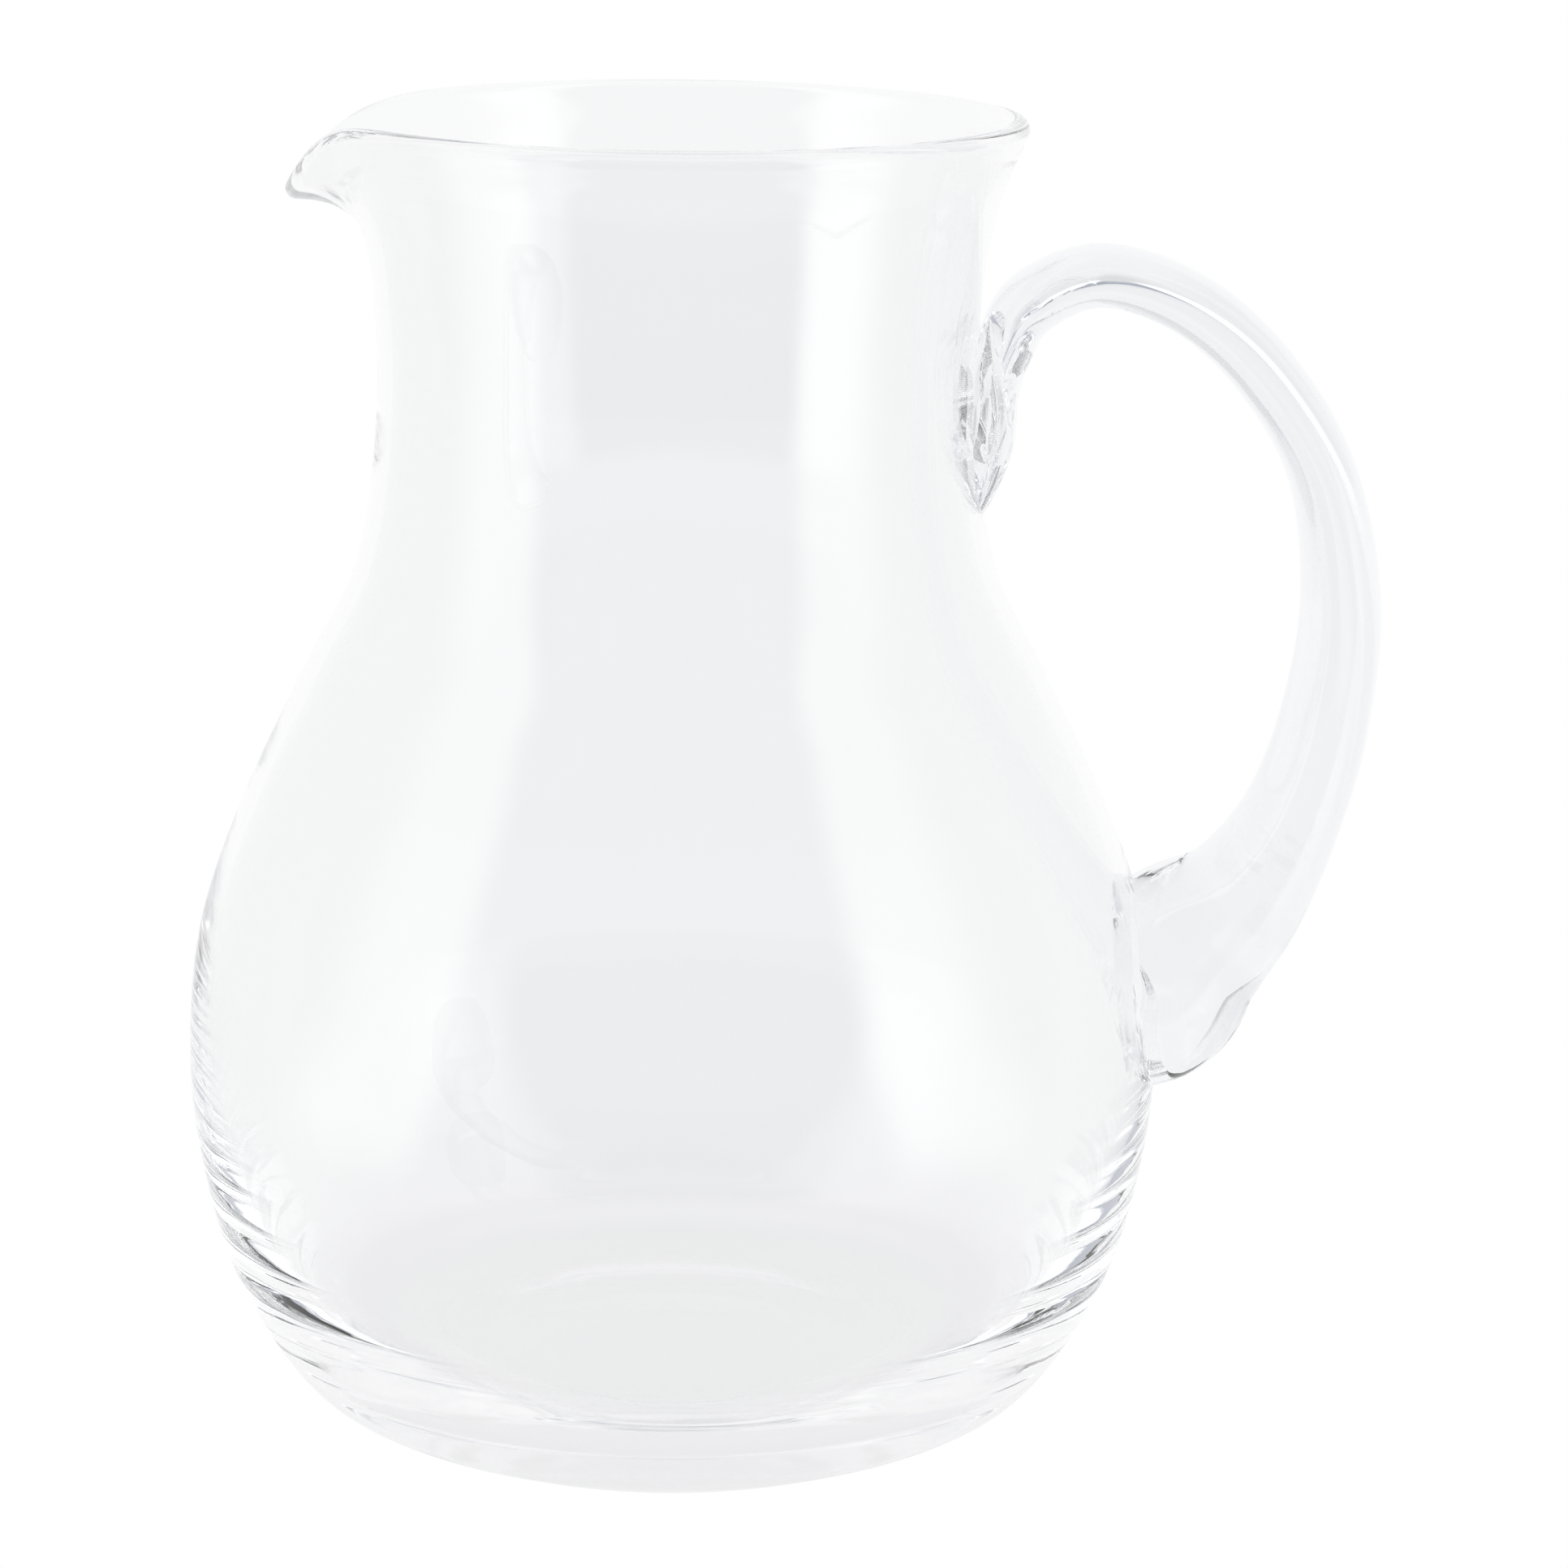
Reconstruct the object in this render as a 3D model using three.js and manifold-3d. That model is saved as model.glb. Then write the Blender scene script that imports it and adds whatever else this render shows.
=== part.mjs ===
// A hand-made water jug in clear glass: a blown, pear-shaped vessel with a pulled pouring lip
// and a thick solid base, and a handle applied to it as one gather of glass.
// Millimetres, +Z up. The lip points along -X and the handle stands out along +X.

import * as THREE from 'three';
import { mergeVertices } from 'three/addons/utils/BufferGeometryUtils.js';
import Module from 'manifold-3d';

const wasm = await Module();
wasm.setup();

// ---- Driving dimensions ----------------------------------------------------------------------

const HEIGHT = 204.2; // standing ring to the top of the rim
const WALL_HEIGHT = HEIGHT - 2.35; // where the outside of the wall turns over into the rim's bead
const BELLY_RADIUS = 75; // widest point of the vessel, outside
const BELLY_HEIGHT = 59.7;
const NECK_RADIUS = 45.4; // narrowest point, outside
const NECK_HEIGHT = 158.2;
const RIM_RADIUS = 52.2; // outside of the wall where the rim's bead begins
const FOOT_RADIUS = 38; // outer edge of the flat ring that the jug stands on
const PUNT_RADIUS = 33; // inner edge of that ring, where the underside starts to rise
const PUNT_RISE = 1.6; // height of the hollow in the middle of the underside

const WALL = 2.4; // thickness of the blown wall
const FLOOR_HEIGHT = 10.2; // middle of the inside floor above the table
const HEEL = 9.4; // thickness of the wall where it begins at the standing ring
const HEEL_FADE = 28; // height over which that thins out into the wall
const HEEL_FULLNESS = 1.4; // over 1 keeps the heel thick for longer before it thins out
const RIM_BEAD = 1.75; // radius of the fire-polished bead round the rim

const LIP_REACH = 57.4; // how far the lip's outside wall is pulled from the axis
const LIP_HEIGHT = 190.4; // height of the lip's underside at its tip
const LIP_FROM = 0.865; // share of the outline, from the foot, above which the wall is pulled
const LIP_WIDTH = 13; // degrees from the lip's middle over which the outward pull fades
const LIP_DIP_WIDTH = 14.3; // degrees over which the downward pull fades
const LIP_ROUNDNESS = 1.6; // 1 is a sharp vee in plan, and 2 is a round trough

const WELD_GAP = 0.3; // left between the handle and the vessel that it is fused to
const FOLD_GAP = 0.8; // width of the crease where the handle's end is folded back on itself

const AROUND = 64; // facets round the vessel
const OUTLINE_STEPS = 26; // rings of facets from the foot to the rim
const BEAD_STEPS = 5; // facets round the bead
const PUNT_STEPS = 3; // rings of facets in the hollow underside
const HANDLE_AROUND = 18; // facets round the handle
const HANDLE_STEPS = 46; // sections along the handle
const FOLD_STEPS = 15; // steps along the crease of the fold

// ---- The vessel's outline --------------------------------------------------------------------

// Outside wall as (radius, height), from the standing ring to the bead.
const outline = new THREE.SplineCurve([
  new THREE.Vector2(FOOT_RADIUS, 0),
  new THREE.Vector2(50.1, 5),
  new THREE.Vector2(59.7, 10.8),
  new THREE.Vector2(68.8, 26.2),
  new THREE.Vector2(73.4, 43.2),
  new THREE.Vector2(BELLY_RADIUS, BELLY_HEIGHT),
  new THREE.Vector2(73.1, 79.7),
  new THREE.Vector2(66.4, 99.2),
  new THREE.Vector2(56.9, 119.2),
  new THREE.Vector2(48.5, 136.7),
  new THREE.Vector2(NECK_RADIUS, NECK_HEIGHT),
  new THREE.Vector2(45.8, 177.7),
  new THREE.Vector2(48.2, 191.7),
  new THREE.Vector2(RIM_RADIUS, WALL_HEIGHT),
]);

// Section through the middle of the pouring lip: the pulled wall leaves the neck's own line,
// turns outwards and runs almost level to the tip.
const lipRoot = outline.getPoint(LIP_FROM);
const lipSection = new THREE.CubicBezierCurve(
  lipRoot,
  new THREE.Vector2(lipRoot.x + 0.4, lipRoot.y + 5),
  new THREE.Vector2(LIP_REACH - 8, LIP_HEIGHT),
  new THREE.Vector2(LIP_REACH, LIP_HEIGHT),
);

function thicknessAt(height) {
  return WALL + (HEEL - WALL) * Math.exp(-((height / HEEL_FADE) ** HEEL_FULLNESS));
}

const radians = THREE.MathUtils.degToRad;

// Falls from 1 in the middle of the lip towards 0 past the width.
function fade(fromLip, widthInDegrees) {
  return Math.exp(-(Math.abs(fromLip / radians(widthInDegrees)) ** LIP_ROUNDNESS));
}

// A point on the outside wall. fromLip is the angle round the axis from the middle of the lip.
function skin(share, fromLip) {
  const wall = outline.getPoint(share);
  if (share > LIP_FROM) {
    const up = (share - LIP_FROM) / (1 - LIP_FROM);
    const lip = lipSection.getPoint(up);
    wall.x += (lip.x - wall.x) * fade(fromLip, LIP_WIDTH);
    wall.y += (lip.y - wall.y) * fade(fromLip, LIP_DIP_WIDTH);
  }
  return new THREE.Vector3(-wall.x * Math.cos(fromLip), -wall.x * Math.sin(fromLip), wall.y);
}

// A point in the glass: in from the outside wall by depth, and past its end by beyond.
function glassPoint({ share, depth, beyond }, fromLip) {
  const step = 1e-3;
  const here = skin(share, fromLip);
  const upwards = here.clone().sub(skin(share - step, fromLip)).normalize();
  const around = skin(share, fromLip + step).sub(skin(share, fromLip - step)).normalize();
  const outwards = around.clone().cross(upwards).normalize();
  return here.addScaledVector(outwards, -depth).addScaledVector(upwards, beyond);
}

// ---- glass_body ------------------------------------------------------------------------------

// The section of the glass wall from the foot over the rim and down to the inside floor.
function wallSection() {
  const section = [];
  for (let i = 1; i <= OUTLINE_STEPS; i += 1) {
    section.push({ share: i / OUTLINE_STEPS, depth: 0, beyond: 0 });
  }
  for (let i = 1; i < BEAD_STEPS; i += 1) {
    const angle = (Math.PI * i) / BEAD_STEPS;
    section.push({
      share: 1,
      depth: RIM_BEAD * (1 - Math.cos(angle)),
      beyond: RIM_BEAD * Math.sin(angle),
    });
  }
  for (let i = OUTLINE_STEPS; i >= 1; i -= 1) {
    const share = i / OUTLINE_STEPS;
    const depth = thicknessAt(outline.getPoint(share).y);
    section.push({ share, depth: i === OUTLINE_STEPS ? 2 * RIM_BEAD : depth, beyond: 0 });
  }
  return section;
}

function bodyGeometry() {
  const section = wallSection();
  const underside = [];
  for (let i = 0; i < PUNT_STEPS; i += 1) {
    const share = i / PUNT_STEPS;
    underside.push(new THREE.Vector2(PUNT_RADIUS * share, PUNT_RISE * (1 - share ** 2)));
  }
  underside.push(new THREE.Vector2(PUNT_RADIUS, 0));
  underside.push(new THREE.Vector2(FOOT_RADIUS, 0));
  const awayFromLip = Math.PI;
  const wall = section.map((place) => {
    const p = glassPoint(place, awayFromLip);
    return new THREE.Vector2(Math.hypot(p.x, p.y), p.z);
  });
  const profile = [...underside, ...wall, new THREE.Vector2(0, FLOOR_HEIGHT)];

  const geometry = new THREE.LatheGeometry(profile, AROUND);
  geometry.rotateX(Math.PI / 2);
  const position = geometry.getAttribute('position');
  for (let i = 0; i < position.count; i += 1) {
    const place = section[(i % profile.length) - underside.length];
    if (place && place.share > LIP_FROM) {
      const fromLip = Math.atan2(-position.getY(i), -position.getX(i));
      const p = glassPoint(place, fromLip);
      position.setXYZ(i, p.x, p.y, p.z);
    }
  }
  return geometry;
}

// ---- handle ----------------------------------------------------------------------------------

// Centre line of the handle in the X-Z plane with its half thickness there and its half width
// across: from the tail pressed on the neck, over the top, down to the broad pad on the belly.
const HANDLE_STATIONS = [
  { x: 45.2, z: 143.6, thick: 0.7, wide: 3 },
  { x: 46.6, z: 149.2, thick: 2.3, wide: 8.5 },
  { x: 47.6, z: 155.7, thick: 3.5, wide: 12.5 },
  { x: 48, z: 162.7, thick: 3.6, wide: 14.5 },
  { x: 49.1, z: 169.6, thick: 4.3, wide: 14.5 },
  { x: 53.2, z: 176.8, thick: 4.7, wide: 12.5 },
  { x: 63.5, z: 181, thick: 4.6, wide: 11 },
  { x: 76.5, z: 177.2, thick: 4.7, wide: 10.5 },
  { x: 88, z: 167.5, thick: 4.9, wide: 10.5 },
  { x: 97.4, z: 152.3, thick: 5.2, wide: 11 },
  { x: 101.2, z: 132.2, thick: 6.1, wide: 11.5 },
  { x: 99.4, z: 113.2, thick: 6.8, wide: 12 },
  { x: 94.9, z: 98, thick: 7.6, wide: 12.8 },
  { x: 88.2, z: 85.8, thick: 9.8, wide: 13.8 },
  { x: 80.2, z: 78, thick: 13.3, wide: 15.2 },
  { x: 73.5, z: 71.7, thick: 15.8, wide: 17.6 },
  { x: 66, z: 70.8, thick: 15.8, wide: 18.5 },
];
const SECTION_SQUARENESS = 2.4; // 2 is an ellipse, and more is a flatter oval

const handleLine = new THREE.SplineCurve(HANDLE_STATIONS.map((s) => new THREE.Vector2(s.x, s.z)));
const handleSize = new THREE.SplineCurve(HANDLE_STATIONS.map((s) => new THREE.Vector2(s.thick, s.wide)));

function roundedPower(value) {
  return Math.sign(value) * Math.abs(value) ** (2 / SECTION_SQUARENESS);
}

function strapGeometry() {
  const geometry = new THREE.CylinderGeometry(1, 1, 1, HANDLE_AROUND, HANDLE_STEPS);
  const position = geometry.getAttribute('position');
  for (let i = 0; i < position.count; i += 1) {
    const share = 0.5 - position.getY(i);
    const centre = handleLine.getPoint(share);
    const along = handleLine.getTangent(share);
    const size = handleSize.getPoint(share);
    const inPlane = size.x * roundedPower(position.getX(i));
    const across = -size.y * roundedPower(position.getZ(i));
    position.setXYZ(i, centre.x - along.y * inPlane, across, centre.y + along.x * inPlane);
  }
  return geometry;
}

// The crease of the fold: a thin crescent that runs down between the strap and the part of its
// end that was pressed on the neck first.
function foldGeometry() {
  const crease = new THREE.SplineCurve([
    new THREE.Vector2(46.2, 184.2),
    new THREE.Vector2(47, 175.2),
    new THREE.Vector2(48.1, 168.2),
    new THREE.Vector2(48.9, 162.7),
    new THREE.Vector2(48.2, 157.2),
    new THREE.Vector2(46.9, 154),
  ]);
  const side = (sign) => crease.getPoints(FOLD_STEPS).map((p, i) => {
    const along = crease.getTangent(i / FOLD_STEPS);
    const half = (sign * FOLD_GAP) / 2;
    return new THREE.Vector2(p.x - along.y * half, p.y + along.x * half);
  });
  const width = 60;
  const shape = new THREE.Shape([...side(1), ...side(-1).reverse()]);
  const geometry = new THREE.ExtrudeGeometry(shape, { depth: width, bevelEnabled: false });
  geometry.rotateX(Math.PI / 2);
  geometry.translate(0, width / 2, 0);
  return geometry;
}

// The space that the vessel and its weld gap take up, as a solid of revolution.
function vesselSpaceGeometry() {
  const awayFromLip = Math.PI;
  const profile = [new THREE.Vector2(0, -WELD_GAP), new THREE.Vector2(FOOT_RADIUS, -WELD_GAP)];
  for (let i = 1; i <= OUTLINE_STEPS; i += 1) {
    const place = { share: i / OUTLINE_STEPS, depth: -WELD_GAP, beyond: 0 };
    const p = glassPoint(place, awayFromLip);
    profile.push(new THREE.Vector2(Math.hypot(p.x, p.y), p.z));
  }
  profile.push(new THREE.Vector2(0, HEIGHT));
  const geometry = new THREE.LatheGeometry(profile, AROUND);
  geometry.rotateX(Math.PI / 2);
  return geometry;
}

// ---- Solids ----------------------------------------------------------------------------------

function solidOf(geometry) {
  const bare = new THREE.BufferGeometry();
  bare.setAttribute('position', geometry.getAttribute('position'));
  if (geometry.index) {
    bare.setIndex(geometry.index);
  }
  const merged = mergeVertices(bare);
  return new wasm.Manifold(new wasm.Mesh({
    numProp: 3,
    vertProperties: new Float32Array(merged.getAttribute('position').array),
    triVerts: new Uint32Array(merged.index.array),
  }));
}

function geometryOf(solid) {
  const mesh = solid.getMesh();
  const geometry = new THREE.BufferGeometry();
  geometry.setAttribute('position', new THREE.BufferAttribute(mesh.vertProperties, 3));
  geometry.setIndex(new THREE.BufferAttribute(mesh.triVerts, 1));
  geometry.computeVertexNormals();
  return geometry;
}

function handleGeometry() {
  const strap = solidOf(strapGeometry());
  const folded = strap.subtract(solidOf(foldGeometry()));
  return geometryOf(folded.subtract(solidOf(vesselSpaceGeometry())));
}

// ---- Assembly --------------------------------------------------------------------------------

function clearGlass() {
  return new THREE.MeshStandardMaterial({
    color: 0xeef1f4,
    roughness: 0.03,
    metalness: 0,
    transparent: true,
    opacity: 0.35,
  });
}

function part(name, geometry) {
  const mesh = new THREE.Mesh(geometry, clearGlass());
  mesh.name = name;
  return mesh;
}

const jug = new THREE.Group();
jug.add(part('glass_body', bodyGeometry()));
jug.add(part('handle', handleGeometry()));

// The origin is under the middle of the whole jug's box, so the vessel's own axis is towards -X.
const box = new THREE.Box3().setFromObject(jug);
jug.position.x = -(box.min.x + box.max.x) / 2;

export default jug;
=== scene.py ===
"""Looks of a hand-made clear glass water jug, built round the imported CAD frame.

The vessel and its handle are rebuilt as fine meshes from the jug's own driving dimensions, in
millimetres about the vessel's axis, and moved into the row frame in metres. Both are real
refracting glass. Where the handle is fused to the vessel there is no surface in the real glass,
so the faces there let light straight on.
"""

import math

import bmesh
import bpy
import numpy as np
from mathutils import Matrix, Vector


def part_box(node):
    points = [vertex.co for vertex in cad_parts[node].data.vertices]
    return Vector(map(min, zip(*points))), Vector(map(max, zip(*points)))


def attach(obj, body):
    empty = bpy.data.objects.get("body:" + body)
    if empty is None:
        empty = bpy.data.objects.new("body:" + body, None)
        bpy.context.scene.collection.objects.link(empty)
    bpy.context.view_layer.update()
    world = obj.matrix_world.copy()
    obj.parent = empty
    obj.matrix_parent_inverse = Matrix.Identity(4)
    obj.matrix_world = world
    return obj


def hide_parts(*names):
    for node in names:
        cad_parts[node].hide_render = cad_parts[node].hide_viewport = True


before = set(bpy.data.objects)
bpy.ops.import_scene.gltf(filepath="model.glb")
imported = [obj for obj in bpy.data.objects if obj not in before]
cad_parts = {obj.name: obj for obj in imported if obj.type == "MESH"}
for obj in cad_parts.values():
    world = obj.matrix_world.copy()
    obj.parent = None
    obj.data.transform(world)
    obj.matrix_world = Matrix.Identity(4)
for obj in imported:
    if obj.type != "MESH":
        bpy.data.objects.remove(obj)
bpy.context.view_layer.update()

MM = 0.001

# ---- Driving dimensions, in millimetres about the vessel's own axis --------------------------

HEIGHT = 204.2
WALL_HEIGHT = HEIGHT - 2.35  # where the outside of the wall turns over into the rim's bead
BELLY_RADIUS = 75
NECK_RADIUS = 45.4
RIM_RADIUS = 52.2
FOOT_RADIUS = 38
PUNT_RADIUS = 33  # the shallow hollow under the base
PUNT_RISE = 1.6
WALL = 2.4  # thickness of the upper wall
HEEL = 9.4  # thickness of the wall at the foot
HEEL_FADE = 28  # height over which the heel thins to the wall
HEEL_FULLNESS = 1.4  # above 1, the heel keeps its thickness longer before it thins
FLOOR_HEIGHT = 10.2  # the inside floor, in its middle
FLOOR_FROM = 1 / 26  # share of the outline where the inside floor's flat begins
RIM_BEAD = 1.75  # radius of the fire-polished rim
BEAD_FADE = 4  # height below the rim over which the wall swells to the bead

LIP_REACH = 57.4  # how far the lip's outside wall is pulled from the axis
LIP_HEIGHT = 190.4  # height of the lip's underside at its tip
LIP_FROM = 0.865  # share of the outline, from the foot, above which the wall is pulled
LIP_START = (0.4, 5)  # out and up, the way the pulled wall leaves the neck
LIP_LEVEL = 8  # length of the level run to the tip
LIP_WIDTH = 13  # degrees from the lip's middle over which the outward pull fades
LIP_DIP_WIDTH = 14.3  # degrees over which the downward pull fades
LIP_ROUNDNESS = 1.6  # 1 is a sharp vee in plan, and 2 is a round trough

OUTLINE = [
    (FOOT_RADIUS, 0), (50.1, 5), (59.7, 10.8), (68.8, 26.2), (73.4, 43.2), (BELLY_RADIUS, 59.7),
    (73.1, 79.7), (66.4, 99.2), (56.9, 119.2), (48.5, 136.7), (NECK_RADIUS, 158.2), (45.8, 177.7),
    (48.2, 191.7), (RIM_RADIUS, WALL_HEIGHT),
]

# Handle: x, z, half thickness in the X-Z plane, half width across it, from the tail to the pad.
HANDLE = [
    (45.2, 143.6, 0.7, 3), (46.6, 149.2, 2.3, 8.5), (47.6, 155.7, 3.5, 12.5),
    (48, 162.7, 3.6, 14.5), (49.1, 169.6, 4.3, 14.5), (53.2, 176.8, 4.7, 12.5),
    (63.5, 181, 4.6, 11), (76.5, 177.2, 4.7, 10.5), (88, 167.5, 4.9, 10.5),
    (97.4, 152.3, 5.2, 11), (101.2, 132.2, 6.1, 11.5), (99.4, 113.2, 6.8, 12),
    (94.9, 98, 7.6, 12.8), (88.2, 85.8, 9.8, 13.8), (80.2, 78, 13.3, 15.2),
    (73.5, 71.7, 15.8, 17.6), (66, 70.8, 15.8, 18.5),
]
TOP_OF_BEND = 7  # stations from the tail to the top
SECTION_SQUARENESS = 2.2  # 2 is an oval section, and more is squarer

# Crease of the folded end: x, z, half width of the gap, from above the handle to its lower end.
CREASE = [
    (45.6, 187, 1.2), (46.7, 176, 0.4), (47.9, 168.5, 0.3), (48.9, 162.5, 0.5), (48.4, 157.4, 0.35),
    (46.9, 154.2, 0.04),
]

AROUND = 216  # facets round the vessel
WALL_ROWS = 156  # rings from the foot to the rim, on each side of the wall
BEAD_ROWS = 12
DISC_ROWS = 18  # rings across the punt, and across the inside floor
HANDLE_AROUND = 72
HANDLE_ROWS = 260
HANDLE_DEPTH = 1  # how deep the handle's glass is modelled into the wall before it is fused
CORE_ROWS = 120
CORE_COLUMNS = 80
CORE_SHARES = (0.2, 0.98)  # shares of the outline between which the handle is cut off inside
CORE_SECTOR = math.radians(40)  # either side of the handle
CORE_INNER = 0.2  # the cutter's inner radius as a share of its outer one
CREASE_ROWS = 60
CREASE_COLUMNS = 48
CREASE_DEPTH = 6  # from the side of the strap inwards
CREASE_OUTSIDE = 1.5  # how far the cutter stands out of the strap
CREASE_TAPER = 1.5  # power by which the groove narrows with depth
CREASE_BOTTOM = 0.02  # share of its width left at the bottom
CREASE_ROUNDING = 1.2  # radius of the groove's mouth
CREASE_FULL_MOUTH = 0.4  # half width from which the mouth is fully rounded
CURVE_STEP = 1e-4  # share of a curve over which its direction is taken
MERGE_DISTANCE = 1e-6  # metres
SHARP_ANGLE = math.radians(35)


# ---- Curves ----------------------------------------------------------------------------------

def spline(points, share):
    """A uniform Catmull-Rom curve through the points, at shares from 0 to 1 of its length."""
    points = np.asarray(points, float)
    last = len(points) - 1
    place = np.clip(np.asarray(share, float), 0, 1) * last
    i = np.minimum(place.astype(int), last - 1)
    w = (place - i)[..., None]
    before, start, end = points[np.maximum(i - 1, 0)], points[i], points[i + 1]
    after = points[np.minimum(i + 2, last)]
    leave, arrive = (end - before) / 2, (after - start) / 2
    return ((2 * start - 2 * end + leave + arrive) * w**3
            + (-3 * start + 3 * end - 2 * leave - arrive) * w**2 + leave * w + start)


def bezier(points, share):
    a, b, c, d = (np.asarray(p, float) for p in points)
    t = np.asarray(share, float)[..., None]
    return a * (1 - t)**3 + 3 * b * t * (1 - t)**2 + 3 * c * t**2 * (1 - t) + d * t**3


def fade(angle, width_in_degrees):
    """Falls from 1 in the middle of the lip, at angle 0, towards 0 past the width."""
    return np.exp(-(np.abs(angle / np.radians(width_in_degrees))**LIP_ROUNDNESS))


def unit(vectors):
    return vectors / np.linalg.norm(vectors, axis=-1, keepdims=True)


# ---- The vessel's surface --------------------------------------------------------------------

lip_root = spline(OUTLINE, LIP_FROM)
LIP_SECTION = [
    lip_root, lip_root + LIP_START, (LIP_REACH - LIP_LEVEL, LIP_HEIGHT), (LIP_REACH, LIP_HEIGHT),
]


def skin(share, from_lip):
    """Points on the outside of the wall. from_lip is the angle from the lip, from -pi to pi."""
    wall = spline(OUTLINE, share)
    up = np.clip((share - LIP_FROM) / (1 - LIP_FROM), 0, 1)
    lip = bezier(LIP_SECTION, up)
    pulled = share > LIP_FROM
    out = np.where(pulled, (lip[..., 0] - wall[..., 0]) * fade(from_lip, LIP_WIDTH), 0)
    down = np.where(pulled, (lip[..., 1] - wall[..., 1]) * fade(from_lip, LIP_DIP_WIDTH), 0)
    radius = wall[..., 0] + out
    x, y = -radius * np.cos(from_lip), -radius * np.sin(from_lip)
    return np.stack([x, y, wall[..., 1] + down], -1)


def glass_point(share, depth, beyond, from_lip):
    """Points in the glass: in from the outside by depth, and past the wall's end by beyond."""
    share, from_lip = np.broadcast_arrays(np.asarray(share, float), np.asarray(from_lip, float))
    here = skin(share, from_lip)
    low = np.maximum(share - CURVE_STEP, 0)
    upwards = unit(skin(low + CURVE_STEP, from_lip) - skin(low, from_lip))
    around = unit(skin(share, from_lip + CURVE_STEP) - skin(share, from_lip - CURVE_STEP))
    outwards = unit(np.cross(around, upwards))
    return here - outwards * np.asarray(depth)[..., None] + upwards * np.asarray(beyond)[..., None]


def thickness(height):
    return WALL + (HEEL - WALL) * np.exp(-(np.maximum(height, 0) / HEEL_FADE)**HEEL_FULLNESS)


# ---- Mesh helpers ----------------------------------------------------------------------------

def axis_x():
    low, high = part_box("glass_body")
    return low.x / MM + (high.y - low.y) / MM / 2


AXIS_X = axis_x()


def to_frame(points):
    """Millimetres about the vessel's axis to metres in the row frame."""
    return (np.asarray(points, float) + (AXIS_X, 0, 0)) * MM


def make_object(name, points, faces):
    mesh = bpy.data.meshes.new(name)
    mesh.from_pydata(to_frame(points).tolist(), [], faces)
    mesh.validate()
    mesh.update()
    obj = bpy.data.objects.new(name, mesh)
    bpy.context.scene.collection.objects.link(obj)
    return obj


def grid_faces(rows, columns, first=0):
    """Quads of a grid of points, closed round its columns."""
    faces = []
    for r in range(rows - 1):
        for c in range(columns):
            d = (c + 1) % columns
            a = first + r * columns
            faces.append((a + c, a + d, a + columns + d, a + columns + c))
    return faces


def boolean(obj, other, operation):
    """Joins, cuts or intersects obj with other, and removes other."""
    cut = obj.modifiers.new("cut", "BOOLEAN")
    cut.operation = operation
    cut.solver = "EXACT"
    cut.material_mode = "TRANSFER"
    cut.object = other
    graph = bpy.context.evaluated_depsgraph_get()
    mesh = bpy.data.meshes.new_from_object(obj.evaluated_get(graph))
    obj.modifiers.clear()
    obj.data = mesh
    bpy.data.objects.remove(other)


# ---- Node helpers ----------------------------------------------------------------------------

class Nodes:
    """Short calls for building a node tree."""

    def __init__(self, tree):
        self.tree = tree
        tree.nodes.clear()

    def add(self, kind, inputs=(), **settings):
        node = self.tree.nodes.new(kind)
        for key, value in settings.items():
            setattr(node, key, value)
        for key, value in dict(inputs).items():
            self.feed(node.inputs[key], value)
        return node

    def feed(self, socket, value):
        if isinstance(value, bpy.types.NodeSocket):
            self.tree.links.new(value, socket)
        else:
            socket.default_value = value

    def math(self, operation, a, b=0.0):
        return self.add("ShaderNodeMath", {0: a, 1: b}, operation=operation).outputs[0]

    def ramp(self, value, from_low, from_high, to_low=0.0, to_high=1.0):
        node = self.add("ShaderNodeMapRange", {
            "Value": value, "From Min": from_low, "From Max": from_high,
            "To Min": to_low, "To Max": to_high,
        }, interpolation_type="SMOOTHSTEP")
        return node.outputs["Result"]

    def azimuth(self, x, y):
        """The angle from the camera's side, 0 to pi."""
        return self.math("ABSOLUTE", self.math("ARCTAN2", x, self.math("MULTIPLY", y, -1.0)))

    def mix(self, share, colour, other):
        return self.add("ShaderNodeMix", {0: share, 6: colour, 7: other}, data_type="RGBA").outputs[2]

    def reach(self, x, y):
        squares = self.math("ADD", self.math("MULTIPLY", x, x), self.math("MULTIPLY", y, y))
        return self.math("SQRT", squares)

    def front_colour(self, front, seen):
        """White, or the colour of the room behind the camera where that isn't seen directly."""
        share = self.math("MULTIPLY", front, self.math("SUBTRACT", 1.0, seen))
        return self.mix(share, (1, 1, 1, 1), FRONT_COLOUR)

    def waves(self, where, shape):
        """Smooth relief in metres, from repeats per metre along each axis and a height."""
        repeats, height = shape
        stretched = self.add("ShaderNodeMapping", {"Vector": where, "Scale": repeats}).outputs[0]
        noise = self.add("ShaderNodeTexNoise", {"Vector": stretched, "Scale": 1.0, "Detail": 1.0})
        return self.math("MULTIPLY", noise.outputs[0], height)

    def band(self, value, near, far):
        """1 between the near ramp and the far ramp."""
        return self.math("MULTIPLY", self.ramp(value, *near), self.ramp(value, *far))

    def toward(self, light, share, level):
        """Moves the light from 1 to the level by the share."""
        return self.math("ADD", light, self.math("MULTIPLY", share, level - 1))

    def studio(self, azimuth, weight):
        """The light of the room by direction, and how much of it is the room behind the camera."""
        front = self.math("MULTIPLY", self.ramp(azimuth, *FRONT_EDGE), weight)
        softbox = self.math("MULTIPLY", self.band(azimuth, SOFTBOX_NEAR, SOFTBOX_FAR), weight)
        side = self.math("MULTIPLY", self.band(azimuth, SIDE_NEAR, SIDE_FAR), weight)
        light = self.toward(1.0, front, FRONT_LIGHT)
        light = self.toward(light, softbox, SOFTBOX_LIGHT)
        return self.toward(light, side, SIDE_LIGHT), front


# ---- Glass -----------------------------------------------------------------------------------

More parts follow.
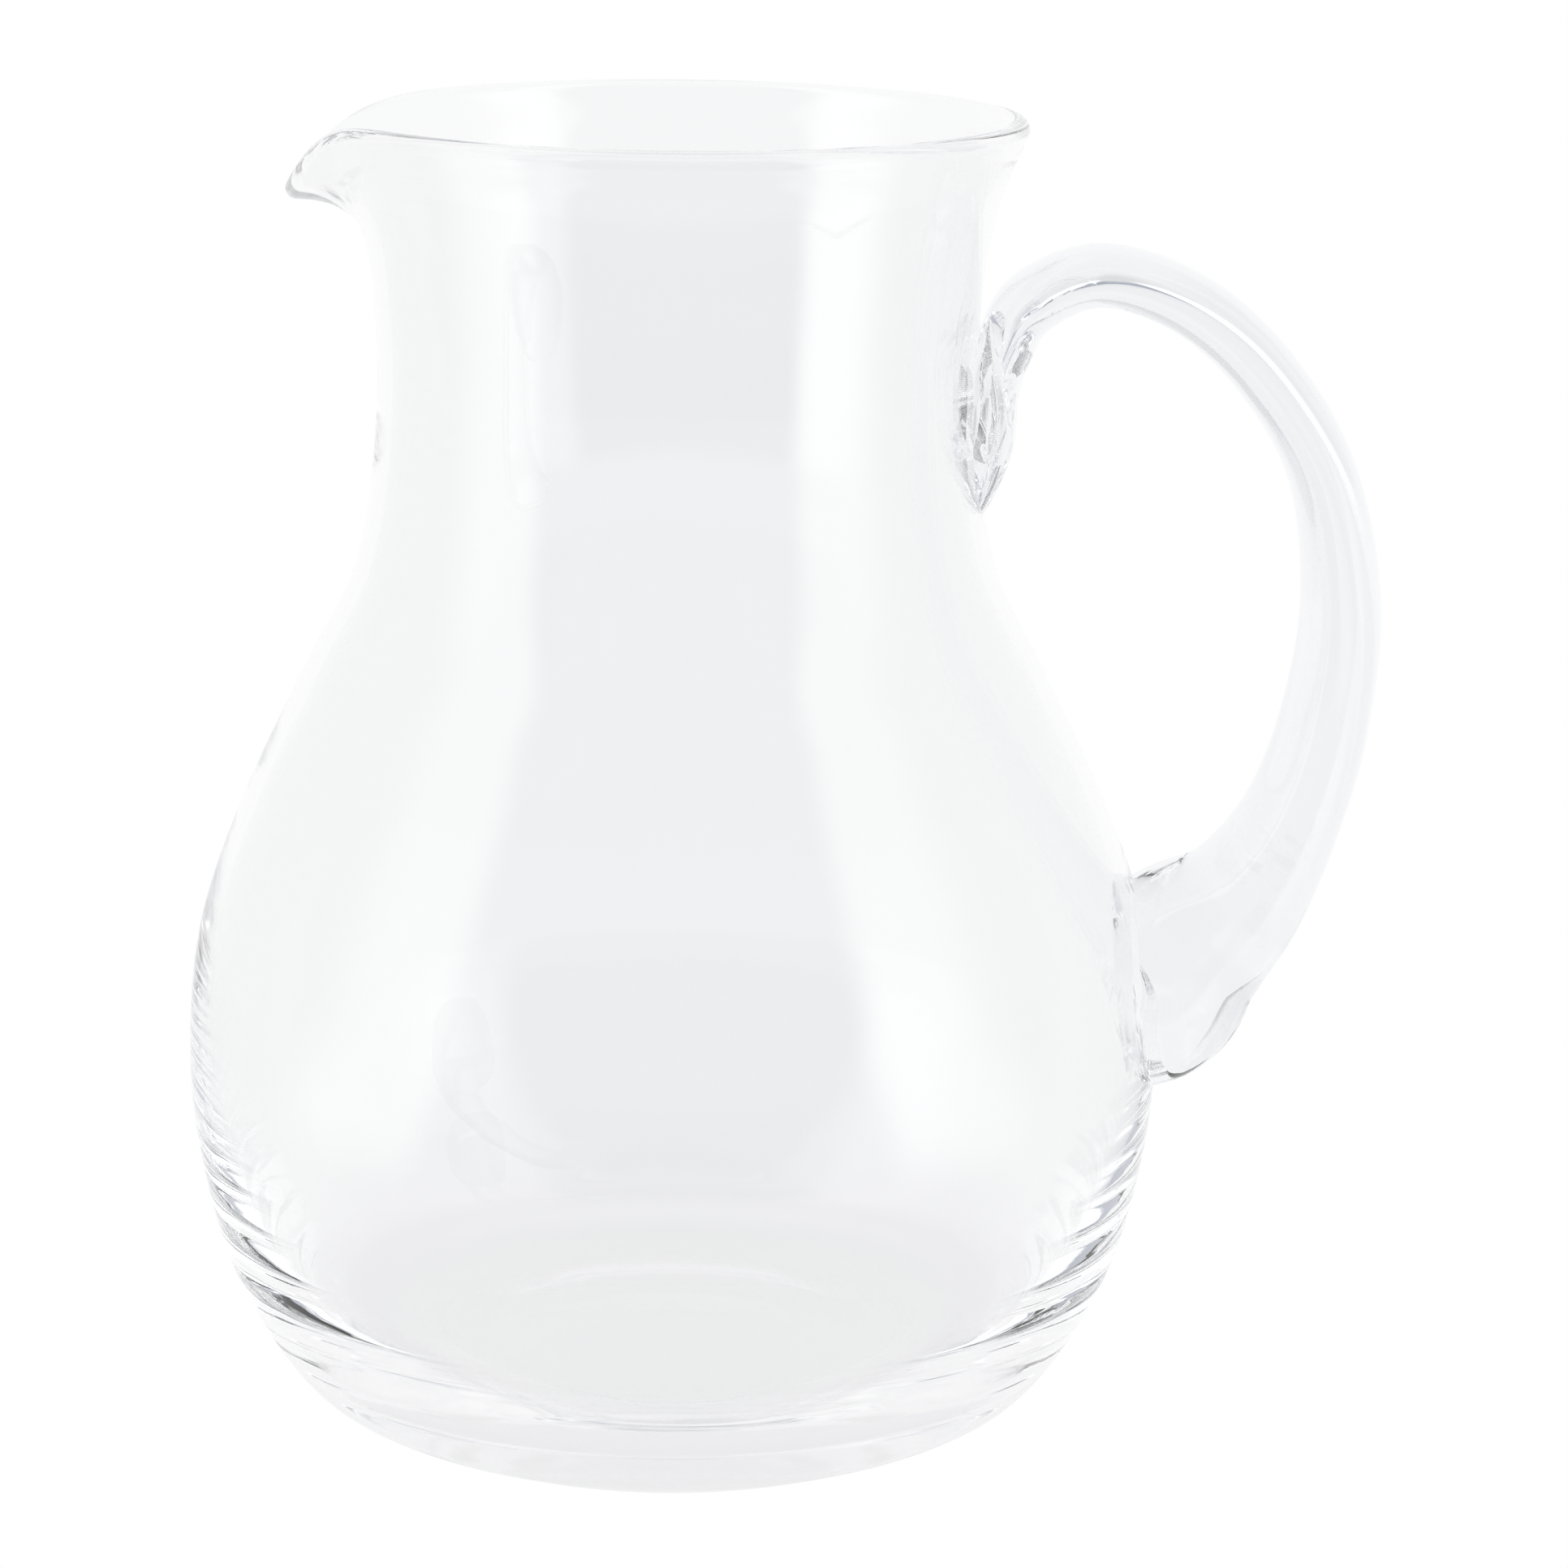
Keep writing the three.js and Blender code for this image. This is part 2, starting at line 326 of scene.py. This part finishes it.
GLASS_IOR = 1.5
VESSEL_TINT = (0.955, 0.957, 0.96, 1)
HEEL_TINT = (0.915, 0.912, 0.93, 1)  # the deep glass of the heel
HEEL_RADIUS = (0.042, 0.052)  # radii between which that tint comes in
HANDLE_TINT = (0.9, 0.91, 0.925, 1)
SLOW_WAVES = ((14, 14, 38), 0.00018)  # repeats per metre along X, Y and Z, and height in metres
TOOLED_LINES = ((9, 9, 230), 0.000022)
HEEL_RIPPLES = ((30, 30, 120), 0.00016)
HEEL_REACH = (0.028, 0.01)  # heights between which the heel's ripples come in
HANDLE_WAVINESS = 0.3  # of the vessel's
HANDLED_ROUGHNESS = 0.025  # of the patches that are touched most
HANDLED_REPEATS = 60  # patches per metre
HANDLED_SHARE = (0.52, 0.75)  # levels of the noise between which a patch comes in
GROUND_ROUGHNESS = 0.1
GROUND_REACH = (0.0008, 0.0002)  # heights between which the ground standing ring comes in


def glass_material(name, tint, waviness):
    """Hand-worked glass: wavy walls, fine lines from the tools, a rippled heel and a ground ring."""
    material = bpy.data.materials.new(name)
    material.use_nodes = True
    n = Nodes(material.node_tree)
    where = n.add("ShaderNodeTexCoord").outputs["Object"]
    x, y, height = n.add("ShaderNodeSeparateXYZ", {0: where}).outputs
    slow = n.waves(where, SLOW_WAVES)
    tooled = n.waves(where, TOOLED_LINES)
    low = n.ramp(height, *HEEL_REACH)
    ripples = n.math("MULTIPLY", n.waves(where, HEEL_RIPPLES), low)
    relief = n.math("ADD", slow, n.math("ADD", tooled, ripples))
    radius = n.reach(n.math("SUBTRACT", x, AXIS_X * MM), y)
    deep = n.math("MULTIPLY", low, n.ramp(radius, *HEEL_RADIUS))
    colour = n.mix(deep, tint, HEEL_TINT)
    bump = n.add("ShaderNodeBump", {"Strength": 1.0, "Distance": waviness, "Height": relief})
    noise = n.add("ShaderNodeTexNoise", {"Vector": where, "Scale": HANDLED_REPEATS, "Detail": 4.0})
    handled = n.ramp(noise.outputs[0], *HANDLED_SHARE, 0.0, HANDLED_ROUGHNESS)
    ground = n.ramp(height, *GROUND_REACH, 0.0, GROUND_ROUGHNESS)
    bsdf = n.add("ShaderNodeBsdfPrincipled", {
        "Base Color": colour, "Roughness": n.math("MAXIMUM", handled, ground), "IOR": GLASS_IOR,
        "Transmission Weight": 1.0, "Normal": bump.outputs[0],
    })
    n.add("ShaderNodeOutputMaterial", {"Surface": bsdf.outputs[0]})
    return material


def weld_material():
    """Inside faces of the fused glass, which aren't there in the real jug."""
    material = bpy.data.materials.new("weld")
    material.use_nodes = True
    n = Nodes(material.node_tree)
    clear = n.add("ShaderNodeBsdfTransparent")
    n.add("ShaderNodeOutputMaterial", {"Surface": clear.outputs[0]})
    return material


# ---- glass_body ------------------------------------------------------------------------------

def body_rows():
    """Share, depth and beyond of each ring from just past the foot, over the rim, to the floor."""
    share = np.arange(1, WALL_ROWS + 1) / WALL_ROWS
    heights = spline(OUTLINE, share)[:, 1]
    zero = np.zeros(WALL_ROWS)
    outside = np.stack([share, zero, zero], -1)
    angle = np.pi * np.arange(1, BEAD_ROWS) / BEAD_ROWS
    into, past = RIM_BEAD * (1 - np.cos(angle)), RIM_BEAD * np.sin(angle)
    bead = np.stack([np.ones(BEAD_ROWS - 1), into, past], -1)
    swell = np.exp(-((heights - WALL_HEIGHT) / BEAD_FADE)**2)
    depth = thickness(heights) + (2 * RIM_BEAD - WALL) * swell
    floor_edge = round(FLOOR_FROM * WALL_ROWS) - 1
    inside = np.stack([share, depth, zero], -1)[floor_edge:][::-1]
    return np.concatenate([outside, bead, inside])


def disc(radii, heights, angles):
    """Rings of points at the radii and heights."""
    radii, heights = np.asarray(radii)[:, None], np.asarray(heights)[:, None]
    return np.stack([-radii * np.cos(angles), -radii * np.sin(angles), heights + 0 * angles], -1)


def make_body():
    angles = 2 * np.pi * np.arange(AROUND) / AROUND - np.pi
    rows = body_rows()
    wall = glass_point(rows[:, :1], rows[:, 1:2], rows[:, 2:3], angles[None, :])
    share = np.arange(1, DISC_ROWS + 1) / DISC_ROWS
    punt = disc(PUNT_RADIUS * share, PUNT_RISE * (1 - share**2), angles)
    foot = disc([(PUNT_RADIUS + FOOT_RADIUS) / 2, FOOT_RADIUS], [0, 0], angles)
    floor_radius = np.hypot(wall[-1, 0, 0], wall[-1, 0, 1])
    floor_height = wall[-1, 0, 2]
    inner = share[::-1][1:]
    dish = FLOOR_HEIGHT + (floor_height - FLOOR_HEIGHT) * inner**2
    floor = disc(floor_radius * inner, dish, angles)
    rings = np.concatenate([punt, foot, wall, floor])
    points = np.concatenate([[[0, 0, PUNT_RISE]], rings.reshape(-1, 3), [[0, 0, FLOOR_HEIGHT]]])
    faces = grid_faces(len(rings), AROUND, first=1)
    end = len(points) - 1
    for c in range(AROUND):
        d = (c + 1) % AROUND
        faces.append((0, 1 + d, 1 + c))
        faces.append((end, end - AROUND + c, end - AROUND + d))
    obj = make_object("jug_vessel", points, faces)
    obj.data.shade_smooth()
    obj.data.materials.append(glass_material("vessel_glass", VESSEL_TINT, 1.0))
    return obj


# ---- handle ----------------------------------------------------------------------------------

def handle_frame(share):
    """Centre, direction across the strap in its plane, half thickness and half width."""
    stations = spline(HANDLE, share)
    ahead = spline(HANDLE, np.minimum(share + CURVE_STEP, 1))[:, :2]
    behind = spline(HANDLE, np.maximum(share - CURVE_STEP, 0))[:, :2]
    along = unit(ahead - behind)
    across = np.stack([-along[:, 1], along[:, 0]], -1)
    return stations[:, :2], across, stations[:, 2], stations[:, 3]


def rounded(value):
    """A cosine or sine bent from that of a circle to that of the strap's squarer section."""
    return np.sign(value) * np.abs(value)**(2 / SECTION_SQUARENESS)


def make_strap():
    share = np.linspace(0, 1, HANDLE_ROWS)
    centre, normal, thick, wide = handle_frame(share)
    angle = 2 * np.pi * np.arange(HANDLE_AROUND) / HANDLE_AROUND
    in_plane = thick[:, None] * rounded(np.cos(angle))
    across = wide[:, None] * rounded(np.sin(angle))
    x = centre[:, None, 0] + normal[:, None, 0] * in_plane
    z = centre[:, None, 1] + normal[:, None, 1] * in_plane
    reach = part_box("handle")[1].x / MM - AXIS_X
    points = np.stack([x * reach / x.max(), across, z], -1).reshape(-1, 3)
    faces = grid_faces(HANDLE_ROWS, HANDLE_AROUND)
    faces.append(tuple(range(HANDLE_AROUND))[::-1])
    faces.append(tuple(range(len(points) - HANDLE_AROUND, len(points))))
    return make_object("jug_handle", points, faces)


def make_crease_cutter(side_of_strap):
    """The crease of the fold: a groove in each of the strap's two sides, widest at the surface."""
    share = np.linspace(0, 1, CREASE_ROWS)
    line = spline(CREASE, share)
    along = unit(np.gradient(line[:, :2], axis=0))
    normal = np.stack([-along[:, 1], along[:, 0]], -1)
    rising = HANDLE[:TOP_OF_BEND]
    side = np.interp(line[:, 1], [s[1] for s in rising], [s[3] for s in rising])
    t = np.linspace(-1, 1, CREASE_COLUMNS)
    across = side[:, None] - CREASE_DEPTH / 2 + t[None, :] * (CREASE_DEPTH / 2 + CREASE_OUTSIDE)
    into = np.clip((side[:, None] - across) / CREASE_DEPTH, 0, 1)
    past = np.clip(across - (side[:, None] - CREASE_ROUNDING), 0, CREASE_ROUNDING)
    flare = CREASE_ROUNDING - np.sqrt(CREASE_ROUNDING**2 - past**2)
    width = line[:, 2:3]
    mouth = flare * np.minimum(width / CREASE_FULL_MOUTH, 1)
    half = width * (1 + CREASE_BOTTOM - into**CREASE_TAPER) + mouth
    points = []
    for sign in (1, -1):
        x = line[:, None, 0] + sign * normal[:, None, 0] * half
        z = line[:, None, 1] + sign * normal[:, None, 1] * half
        points.append(np.stack([x, across * side_of_strap, z], -1).reshape(-1, 3))
    faces = slab_faces(CREASE_ROWS, CREASE_COLUMNS)
    return make_object("crease_cutter", np.concatenate(points), faces)


def slab_faces(rows, columns):
    """Faces of a closed slab between two grids of points, the second numbered after the first."""
    size = rows * columns
    faces = []
    for r in range(rows - 1):
        for c in range(columns - 1):
            a = r * columns + c
            quad = (a, a + 1, a + columns + 1, a + columns)
            faces.append(quad)
            faces.append(tuple(size + i for i in reversed(quad)))
    edge = list(range(columns))
    edge += [r * columns + columns - 1 for r in range(1, rows)]
    edge += [(rows - 1) * columns + c for c in range(columns - 2, -1, -1)]
    edge += [r * columns for r in range(rows - 2, 0, -1)]
    for i, a in enumerate(edge):
        b = edge[(i + 1) % len(edge)]
        faces.append((b, a, size + a, size + b))
    return faces


def outward(obj):
    """Turns the faces of a closed mesh to point out."""
    bm = bmesh.new()
    bm.from_mesh(obj.data)
    bmesh.ops.recalc_face_normals(bm, faces=bm.faces)
    bm.to_mesh(obj.data)
    bm.free()


def copy_of(obj, material):
    """A copy of the object, all in the one material."""
    twin = obj.copy()
    twin.data = obj.data.copy()
    twin.data.materials.clear()
    twin.data.materials.append(material)
    bpy.context.scene.collection.objects.link(twin)
    return twin


def make_core_cutter():
    """What lies deeper in the vessel than the handle reaches, near the handle only."""
    angles = np.linspace(math.pi - CORE_SECTOR, math.pi + CORE_SECTOR, CORE_COLUMNS)
    share = np.linspace(*CORE_SHARES, CORE_ROWS)
    outer = glass_point(share[:, None], [[HANDLE_DEPTH]], [[0]], angles[None, :])
    inner = outer * (CORE_INNER, CORE_INNER, 1)
    points = np.concatenate([outer.reshape(-1, 3), inner.reshape(-1, 3)])
    return make_object("core_cutter", points, slab_faces(*outer.shape[:2]))


def make_handle(vessel):
    """The strap with its folded end, fused to the vessel: their shared skin is the weld of both."""
    vessel_glass = vessel.data.materials[0]
    handle_glass = glass_material("handle_glass", HANDLE_TINT, HANDLE_WAVINESS)
    weld = weld_material()
    handle = make_strap()
    for cutter in (make_crease_cutter(1), make_crease_cutter(-1), make_core_cutter()):
        outward(handle)
        outward(cutter)
        boolean(handle, cutter, "DIFFERENCE")
        keep_largest(handle)
    joined = copy_of(vessel, vessel_glass)
    boolean(joined, copy_of(handle, handle_glass), "UNION")
    handle.data.materials.clear()
    handle.data.materials.append(handle_glass)
    boolean(handle, copy_of(vessel, weld), "DIFFERENCE")
    keep_largest(handle)
    patch_vessel(vessel, joined, handle, vessel_glass, weld)
    finish_normals(handle)
    finish_normals(vessel)
    return handle


def patch_vessel(vessel, joined, handle, vessel_glass, weld):
    """The vessel's own skin from the joined solid, closed again by the handle's weld faces."""
    bm = bmesh.new()
    bm.from_mesh(joined.data)
    own = joined.data.materials.find(vessel_glass.name)
    strangers = [f for f in bm.faces if f.material_index != own]
    bmesh.ops.delete(bm, geom=strangers, context="FACES")
    for face in bm.faces:
        face.material_index = 0
    welded = handle.data.materials.find(weld.name)
    points = handle.data.vertices
    for polygon in handle.data.polygons:
        if polygon.material_index == welded:
            corners = [bm.verts.new(points[v].co) for v in reversed(polygon.vertices)]
            bm.faces.new(corners).material_index = 1
    bmesh.ops.remove_doubles(bm, verts=bm.verts, dist=MERGE_DISTANCE)
    bm.to_mesh(vessel.data)
    bm.free()
    vessel.data.materials.append(weld)
    bpy.data.objects.remove(joined)


def keep_largest(obj):
    """Deletes loose bits that a cut has left."""
    bm = bmesh.new()
    bm.from_mesh(obj.data)
    left, islands = set(bm.verts), []
    while left:
        stack, island = [left.pop()], set()
        while stack:
            v = stack.pop()
            island.add(v)
            for e in v.link_edges:
                other = e.other_vert(v)
                if other in left:
                    left.remove(other)
                    stack.append(other)
        islands.append(island)
    islands.sort(key=len)
    bmesh.ops.delete(bm, geom=[v for island in islands[:-1] for v in island], context="VERTS")
    bm.to_mesh(obj.data)
    bm.free()


def finish_normals(obj):
    """Smooth shading, with sharp edges where the surface turns hard or its material changes."""
    bm = bmesh.new()
    bm.from_mesh(obj.data)
    for face in bm.faces:
        face.smooth = True
    for edge in bm.edges:
        faces = edge.link_faces
        turns_hard = edge.calc_face_angle(0) > SHARP_ANGLE
        changes = len(faces) == 2 and faces[0].material_index != faces[1].material_index
        edge.smooth = not (turns_hard or changes)
    bm.to_mesh(obj.data)
    bm.free()


# ---- Stage -----------------------------------------------------------------------------------

def radians(*angles):
    return tuple(math.radians(angle) for angle in angles)


# Each light is against the white backdrop's 1. Each pair is where the light starts to come in,
# and where it is full: an angle from the camera's side, a height angle or a distance in metres.
FRONT_LIGHT = 0.5  # the room behind the camera
FRONT_COLOUR = (0.93, 0.98, 1.1, 1)
FRONT_EDGE = radians(54, 44)
SOFTBOX_LIGHT = 1.5  # a tall soft box on each side
SOFTBOX_NEAR = radians(46, 58)
SOFTBOX_FAR = radians(94, 70)
SIDE_LIGHT = 0.95  # the studio past the soft boxes
SIDE_NEAR = radians(70, 94)
SIDE_FAR = radians(150, 115)
CEILING_LIGHT = 0.8
CEILING = radians(80, 60)
CARD_LIGHT = 0.39  # a grey strip of the table's near end
CARD_NEAR = (0.33, 0.38)
CARD_FAR = (0.98, 0.88)
CARD_EDGE = radians(52, 47)
TABLE_REACH = (0.2, 0.28)  # the white table round the jug before the room's reflection begins
UNDER_LIGHT = 0.89  # painted shadow of the jug on the glowing table under it
UNDER_REACH = (0.085, 0.045)


def make_floor():
    """A white lit table that fades into the darker room on the camera's side, with a painted shadow
    under the jug.
    """
    size = 6000
    corners = [(-size, -size), (size, -size), (size, size), (-size, size)]
    below = -0.2
    obj = make_object("floor", [(x, y, below) for x, y in corners], [(0, 1, 2, 3)])
    material = bpy.data.materials.new("lit_table")
    material.use_nodes = True
    n = Nodes(material.node_tree)
    where = n.add("ShaderNodeNewGeometry").outputs["Position"]
    x, y = n.add("ShaderNodeSeparateXYZ", {0: where}).outputs[:2]
    x = n.math("SUBTRACT", x, AXIS_X * MM)
    reach = n.reach(x, y)
    azimuth = n.azimuth(x, y)
    light, front = n.studio(azimuth, n.ramp(reach, *TABLE_REACH))
    card = n.math("MULTIPLY", n.band(reach, CARD_NEAR, CARD_FAR), n.ramp(azimuth, *CARD_EDGE))
    light = n.toward(light, card, 1 + CARD_LIGHT - FRONT_LIGHT)
    # painted shadow: the table's glow is turned down under the jug
    light = n.toward(light, n.ramp(reach, *UNDER_REACH), UNDER_LIGHT)
    seen = n.add("ShaderNodeLightPath").outputs["Is Camera Ray"]
    light = n.math("MAXIMUM", light, seen)
    colour = n.front_colour(front, seen)
    emission = n.add("ShaderNodeEmission", {"Color": colour, "Strength": light})
    n.add("ShaderNodeOutputMaterial", {"Surface": emission.outputs[0]})
    obj.data.materials.append(material)


def make_world():
    """A pale studio as light by direction: dim behind the camera, a soft box on each side of it."""
    world = bpy.data.worlds.new("studio")
    bpy.context.scene.world = world
    world.use_nodes = True
    n = Nodes(world.node_tree)
    where = n.add("ShaderNodeTexCoord").outputs["Generated"]
    x, y, z = n.add("ShaderNodeSeparateXYZ", {0: where}).outputs
    elevation = n.math("ARCSINE", z)
    light, front = n.studio(n.azimuth(x, y), n.ramp(elevation, *CEILING))
    light = n.toward(light, n.ramp(elevation, *reversed(CEILING)), CEILING_LIGHT)
    seen = n.add("ShaderNodeLightPath").outputs["Is Camera Ray"]
    light = n.math("MAXIMUM", light, seen)
    colour = n.front_colour(front, seen)
    background = n.add("ShaderNodeBackground", {"Color": colour, "Strength": light})
    n.add("ShaderNodeOutputWorld", {"Surface": background.outputs[0]})


def make_camera():
    """At the photograph's viewing angle: level with a point above the rim, looking down a little."""
    distance, height = 706.2, 277.7
    turn, yaw, pitch, roll = (math.radians(a) for a in (3.5, 1.365, 14.024, 0.687))
    forward = Vector((
        math.sin(yaw) * math.cos(pitch), math.cos(yaw) * math.cos(pitch), -math.sin(pitch),
    ))
    right = Vector((math.cos(yaw), -math.sin(yaw), 0))
    up = right.cross(forward)
    tilted_right = right * math.cos(roll) + up * math.sin(roll)
    tilted_up = up * math.cos(roll) - right * math.sin(roll)
    pose = Matrix((tilted_right, tilted_up, -forward)).transposed().to_4x4()
    pose.translation = Vector((0, -distance * MM, height * MM))
    data = bpy.data.cameras.new("camera")
    data.lens = 108.33
    data.sensor_width = 36
    data.clip_start = 0.01
    data.clip_end = 100
    camera = bpy.data.objects.new("camera", data)
    bpy.context.scene.collection.objects.link(camera)
    about_axis = Matrix.Translation((AXIS_X * MM, 0, 0)) @ Matrix.Rotation(turn, 4, "Z")
    camera.matrix_world = about_axis @ pose
    bpy.context.scene.camera = camera


def set_light_paths():
    scene = bpy.context.scene
    scene.view_settings.view_transform = "Standard"
    cycles = scene.cycles
    cycles.max_bounces = 128
    cycles.transmission_bounces = 128
    cycles.glossy_bounces = 128
    cycles.transparent_max_bounces = 64
    cycles.sample_clamp_indirect = 0


make_camera()
set_light_paths()
make_world()
make_floor()

vessel = make_body()
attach(vessel, "root")
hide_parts("glass_body")

handle = make_handle(vessel)
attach(handle, "root")
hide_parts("handle")
